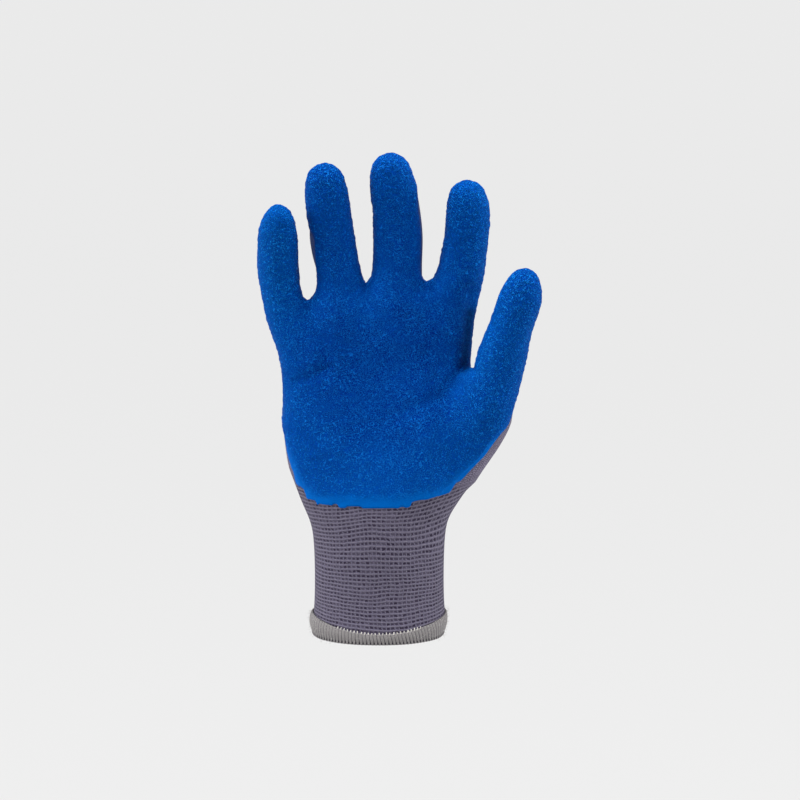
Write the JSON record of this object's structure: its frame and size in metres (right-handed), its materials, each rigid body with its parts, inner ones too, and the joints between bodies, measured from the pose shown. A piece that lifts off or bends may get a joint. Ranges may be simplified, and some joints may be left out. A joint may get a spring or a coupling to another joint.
{
  "type": "latex coated work glove",
  "caption": "Right-hand knitted work glove in its worn form, with an elastic cuff, an overlocked hem and a crinkled latex coating over palm and fingertips.",
  "frame": {"origin": "centre of the wrist opening, in the plane of the hem's lowest edge", "axes": "+Z from the wrist to the fingertips, -Y out of the palm, +X towards the thumb"},
  "size_m": [0.1397, 0.063, 0.2443],
  "materials": {
    "liner_knit": "fine plain knit, grey-purple",
    "cuff_knit": "elastic rib knit, grey-purple with darker rows",
    "latex": "crinkled, satin blue",
    "hem_thread": "overlock thread, pale grey"
  },
  "bodies": {
    "root": {"knit_cuff": "cuff_knit", "knit_palm": "liner_knit", "knit_thumb": "liner_knit", "knit_little_finger": "liner_knit", "knit_ring_finger": "liner_knit", "knit_middle_finger": "liner_knit", "knit_index_finger": "liner_knit", "latex_coating": "latex", "hem_overlock": "hem_thread"}
  },
  "joints": []
}
